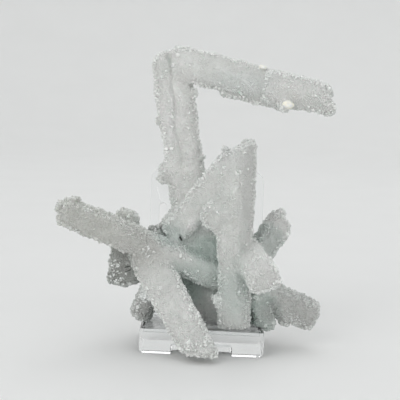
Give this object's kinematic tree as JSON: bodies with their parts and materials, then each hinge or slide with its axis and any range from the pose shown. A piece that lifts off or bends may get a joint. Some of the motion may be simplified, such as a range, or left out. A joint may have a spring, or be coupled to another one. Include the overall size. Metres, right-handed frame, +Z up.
{
  "type": "prehnite specimen",
  "caption": "Cluster of crossing prehnite fingers with a fine crystal crust, standing on a clear block and leaning on its clear back plate.",
  "frame": {"origin": "centre of the underside of the stand's block", "axes": "+Z up, +X to the right seen from the front, +Y to the back, where the plate is"},
  "size_m": [0.1119, 0.0614, 0.125],
  "materials": {
    "prehnite": "sugary frosted translucent crust",
    "clear_acrylic": "polished clear acrylic"
  },
  "bodies": {
    "root": {"prehnite_cluster": "prehnite", "stand_block": "clear_acrylic", "stand_back_plate": "clear_acrylic"}
  },
  "joints": []
}
